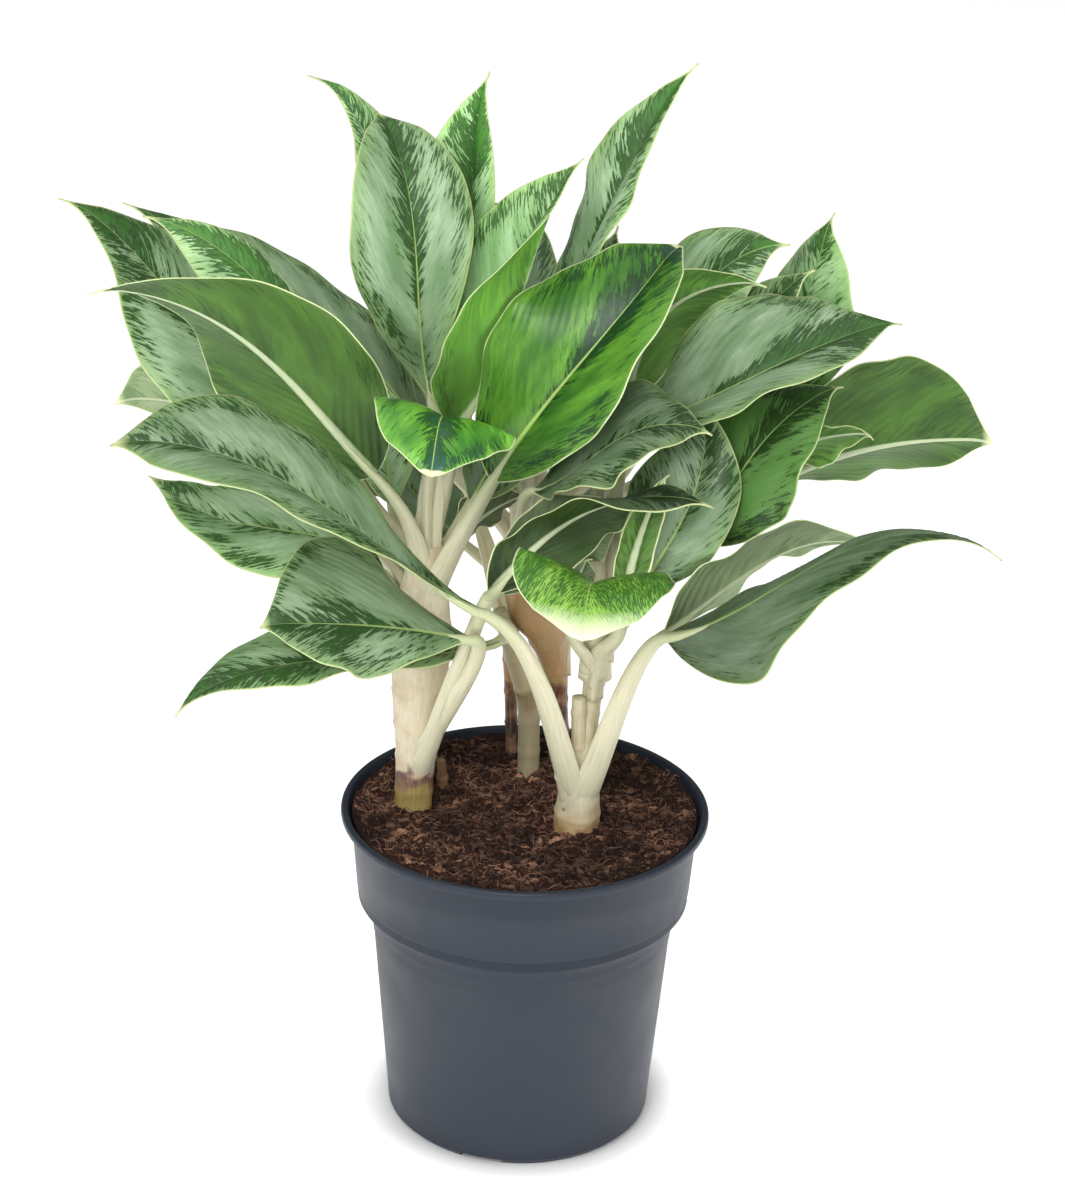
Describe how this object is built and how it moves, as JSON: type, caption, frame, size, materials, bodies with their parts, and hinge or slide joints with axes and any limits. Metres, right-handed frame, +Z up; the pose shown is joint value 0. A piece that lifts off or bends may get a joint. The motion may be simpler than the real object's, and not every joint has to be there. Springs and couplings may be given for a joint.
{
  "type": "potted chinese evergreen",
  "caption": "Chinese evergreen with broad silvery-green pointed leaves on pale canes, in a round plastic nursery pot filled with soil.",
  "frame": {"origin": "centre of the pot's flat base, on the surface that it stands on", "axes": "+Z up along the pot's axis, -Y towards the side that the picture shows, +X to the right in the picture"},
  "size_m": [0.4204, 0.3109, 0.5085],
  "materials": {
    "pot_plastic": "satin slate grey",
    "peat_soil": "rough, damp peat and bark",
    "cane": "satin cream stalk",
    "green_cane": "satin olive stalk",
    "leaf": "satin silvery green"
  },
  "bodies": {
    "root": {"pot": "pot_plastic", "soil": "peat_soil", "cane_left": "cane", "cane_left_stub": "cane", "cane_back": "cane", "cane_back_slim": "green_cane", "cane_front": "cane", "leaf_left_front": "leaf", "leaf_left_high": "leaf", "leaf_left_back": "leaf", "leaf_left_tip": "leaf", "leaf_left_rear": "leaf", "leaf_left_under": "leaf", "leaf_left_low_back": "leaf", "leaf_left_low": "leaf", "leaf_left_cup": "leaf", "leaf_front_curl": "leaf", "leaf_centre_fold": "leaf", "leaf_top_left": "leaf", "leaf_top_curl": "leaf", "leaf_top_mid": "leaf", "leaf_top_right": "leaf", "leaf_centre_big": "leaf", "leaf_back_mid": "leaf", "leaf_right_round": "leaf", "leaf_right_plain": "leaf", "leaf_right_nib": "leaf", "leaf_right_up": "leaf", "leaf_right_large": "leaf", "leaf_right_far": "leaf", "leaf_right_low": "leaf", "leaf_right_slim": "leaf", "leaf_right_wave": "leaf", "leaf_right_under": "leaf", "leaf_right_inner": "leaf", "leaf_right_rib": "leaf", "leaf_front_bright": "leaf", "leaf_low_right": "leaf", "leaf_low_right_rolled": "leaf", "leaf_inner": "leaf", "leaf_inner_left": "leaf", "leaf_mid_under": "leaf", "leaf_mid_dark": "leaf", "leaf_mid_low": "leaf", "leaf_rear_left": "leaf", "leaf_rear_mid": "leaf", "leaf_rear_right": "leaf", "leaf_rear_low": "leaf", "leaf_rear_high": "leaf", "leaf_rear_high_right": "leaf", "leaf_rear_low_left": "leaf"}
  },
  "joints": []
}
